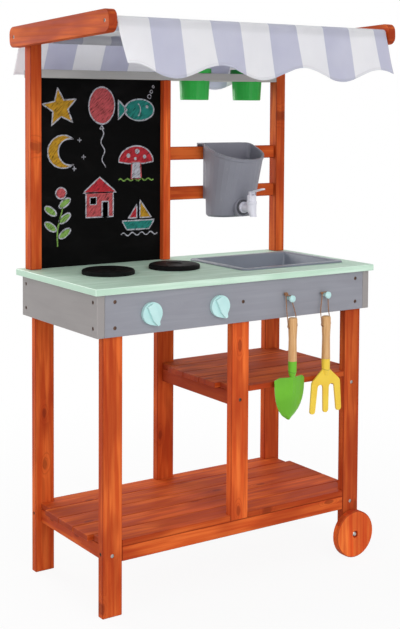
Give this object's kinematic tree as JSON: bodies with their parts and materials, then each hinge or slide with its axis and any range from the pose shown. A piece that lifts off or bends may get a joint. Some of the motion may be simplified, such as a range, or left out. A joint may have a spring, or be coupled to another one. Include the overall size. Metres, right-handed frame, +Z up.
{
  "type": "toy mud kitchen",
  "caption": "Toy outdoor kitchen on legs and wheels: worktop with hot plates and sink tray, chalkboard, bucket with tap, shelves, hanging tools and a scalloped awning.",
  "frame": {"origin": "on the ground under the middle of the bounding box", "axes": "+Z up, +X to the kitchen's right, the front faces -Y"},
  "size_m": [0.714, 0.4809, 1.1861],
  "materials": {
    "stained_wood": "stained softwood, satin",
    "mint_paint": "mint paint on wood",
    "grey_paint": "grey paint on wood",
    "shelf_paint": "grey paint on wood",
    "black_enamel": "black, satin",
    "chalkboard_paint": "matt chalkboard paint on board",
    "grey_tray": "grey, satin",
    "grey_plastic": "grey moulded plastic",
    "white_plastic": "white moulded plastic",
    "mint_plastic": "pale mint, satin",
    "green_plastic": "green moulded plastic",
    "lime_enamel": "lime green enamel",
    "yellow_enamel": "yellow enamel",
    "beech": "beech, clear lacquer",
    "cord": "brown braided cord",
    "rubber": "black rubber",
    "steel": "zinc plated",
    "striped_cloth": "white and grey-blue striped polyester"
  },
  "bodies": {
    "frame": {"leg_front_left": "stained_wood", "leg_front_centre": "stained_wood", "leg_front_right": "stained_wood", "leg_back_left": "stained_wood", "leg_back_centre": "stained_wood", "leg_back_right": "stained_wood", "lower_rail_front": "stained_wood", "lower_rail_back": "stained_wood", "lower_rail_left": "stained_wood", "lower_rail_right": "stained_wood", "middle_rail_left": "stained_wood", "middle_rail_right": "stained_wood", "lower_plank_front": "stained_wood", "lower_plank_2": "stained_wood", "lower_plank_3": "stained_wood", "lower_plank_4": "stained_wood", "lower_plank_back": "stained_wood", "middle_plank_front": "stained_wood", "middle_plank_back": "stained_wood", "apron_front": "grey_paint", "apron_back": "grey_paint", "apron_left": "grey_paint", "apron_right": "grey_paint", "worktop": "mint_paint", "hob_left": "black_enamel", "hob_right": "black_enamel", "hook_peg_left": "mint_plastic", "hook_peg_right": "mint_plastic", "wheel_bolt_front": "steel", "wheel_bolt_back": "steel", "post_left": "stained_wood", "post_middle": "stained_wood", "post_right": "stained_wood", "chalkboard": "chalkboard_paint", "slat_lower": "stained_wood", "slat_upper": "stained_wood", "top_shelf": "shelf_paint", "awning_arm_left": "stained_wood", "awning_arm_right": "stained_wood", "awning_rod_front": "stained_wood", "awning_rod_back": "stained_wood", "canopy": "striped_cloth"},
    "knob_left": {"knob_left": "mint_plastic"},
    "knob_right": {"knob_right": "mint_plastic"},
    "wheel_front": {"wheel_front": "stained_wood"},
    "wheel_back": {"wheel_back": "stained_wood"},
    "bucket": {"bucket": "grey_plastic", "tap_body": "white_plastic", "tap_seal": "rubber", "tap_nut": "white_plastic"},
    "tap_lever": {"tap_lever": "white_plastic"},
    "sink_tray": {"sink_tray": "grey_tray"},
    "pot_left": {"pot_left": "green_plastic"},
    "pot_right": {"pot_right": "green_plastic"},
    "trowel": {"trowel_handle": "beech", "trowel_blade": "lime_enamel", "trowel_cord": "cord"},
    "fork": {"fork_handle": "beech", "fork_head": "yellow_enamel", "fork_cord": "cord"}
  },
  "joints": [
    {"name": "knob_left_turn", "type": "hinge", "parent": "frame", "child": "knob_left", "pos_m": [-0.22525, -0.15797, 0.5977], "axis": [0, -1, 0], "continuous": true},
    {"name": "knob_right_turn", "type": "hinge", "parent": "frame", "child": "knob_right", "pos_m": [-0.06225, -0.15797, 0.5977], "axis": [0, -1, 0], "continuous": true},
    {"name": "wheel_front_spin", "type": "hinge", "parent": "frame", "child": "wheel_front", "pos_m": [0.30495, -0.16017, 0.052], "axis": [0, 1, 0], "continuous": true},
    {"name": "wheel_back_spin", "type": "hinge", "parent": "frame", "child": "wheel_back", "pos_m": [0.30495, 0.17283, 0.052], "axis": [0, 1, 0], "continuous": true},
    {"name": "bucket_lift", "type": "slide", "parent": "frame", "child": "bucket", "axis": [0, 0, 1], "range_m": [0, 0.06]},
    {"name": "tap_lever_turn", "type": "hinge", "parent": "bucket", "child": "tap_lever", "pos_m": [0.15825, 0.0336, 0.8091], "axis": [-1, 0, 0], "range_deg": [0, 78]},
    {"name": "sink_tray_lift", "type": "slide", "parent": "frame", "child": "sink_tray", "axis": [0, 0, 1], "range_m": [0, 0.06]},
    {"name": "pot_left_lift", "type": "slide", "parent": "frame", "child": "pot_left", "axis": [0, 0, 1], "range_m": [0, 0.008]},
    {"name": "pot_right_lift", "type": "slide", "parent": "frame", "child": "pot_right", "axis": [0, 0, 1], "range_m": [0, 0.008]},
    {"name": "trowel_swing", "type": "hinge", "parent": "frame", "child": "trowel", "pos_m": [0.11695, -0.16567, 0.5987], "axis": [0, 1, 0], "range_deg": [-1, 18]},
    {"name": "fork_swing", "type": "hinge", "parent": "frame", "child": "fork", "pos_m": [0.21475, -0.16567, 0.5987], "axis": [0, 1, 0], "range_deg": [-18, 1]}
  ]
}
